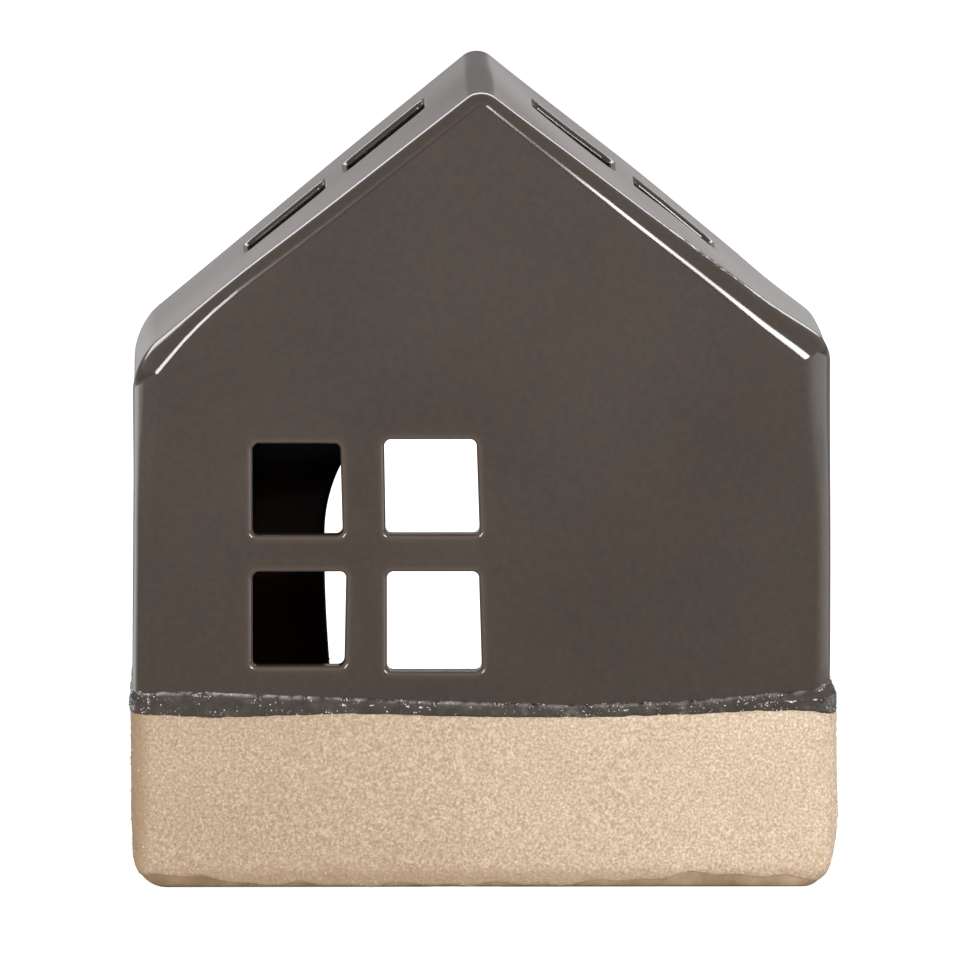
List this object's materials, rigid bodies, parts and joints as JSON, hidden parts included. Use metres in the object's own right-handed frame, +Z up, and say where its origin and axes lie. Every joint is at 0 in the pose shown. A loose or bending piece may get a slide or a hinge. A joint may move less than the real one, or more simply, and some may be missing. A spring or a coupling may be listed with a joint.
{
  "type": "tealight house",
  "caption": "House-shaped tealight holder: glazed stoneware over a sand-coated foot, with a window grid, roof vents and an arched back opening for the tealight.",
  "frame": {"origin": "middle of the underside, on the surface that the house stands on", "axes": "+Z up, -Y towards the front with the window panes, +X to the right seen from the front"},
  "size_m": [0.1106, 0.07, 0.125],
  "materials": {
    "stoneware": "matte",
    "glaze": "gloss",
    "sand": "matte",
    "cup": "satin",
    "wax": "satin",
    "wick": "matte",
    "tin": "satin"
  },
  "bodies": {
    "house": {"stoneware_body": "stoneware", "grey_glaze": "glaze", "sand_coat": "sand"},
    "tealight": {"tealight_cup": "cup"},
    "candle": {"tealight_wax": "wax", "tealight_wick": "wick", "wick_sustainer": "tin"}
  },
  "joints": [
    {"name": "tealight_slide", "type": "slide", "parent": "house", "child": "tealight", "axis": [0, 1, 0], "range_m": [0, 0.058]},
    {"name": "candle_lift", "type": "slide", "parent": "tealight", "child": "candle", "axis": [0, 0, 1], "range_m": [0, 0.02]}
  ]
}
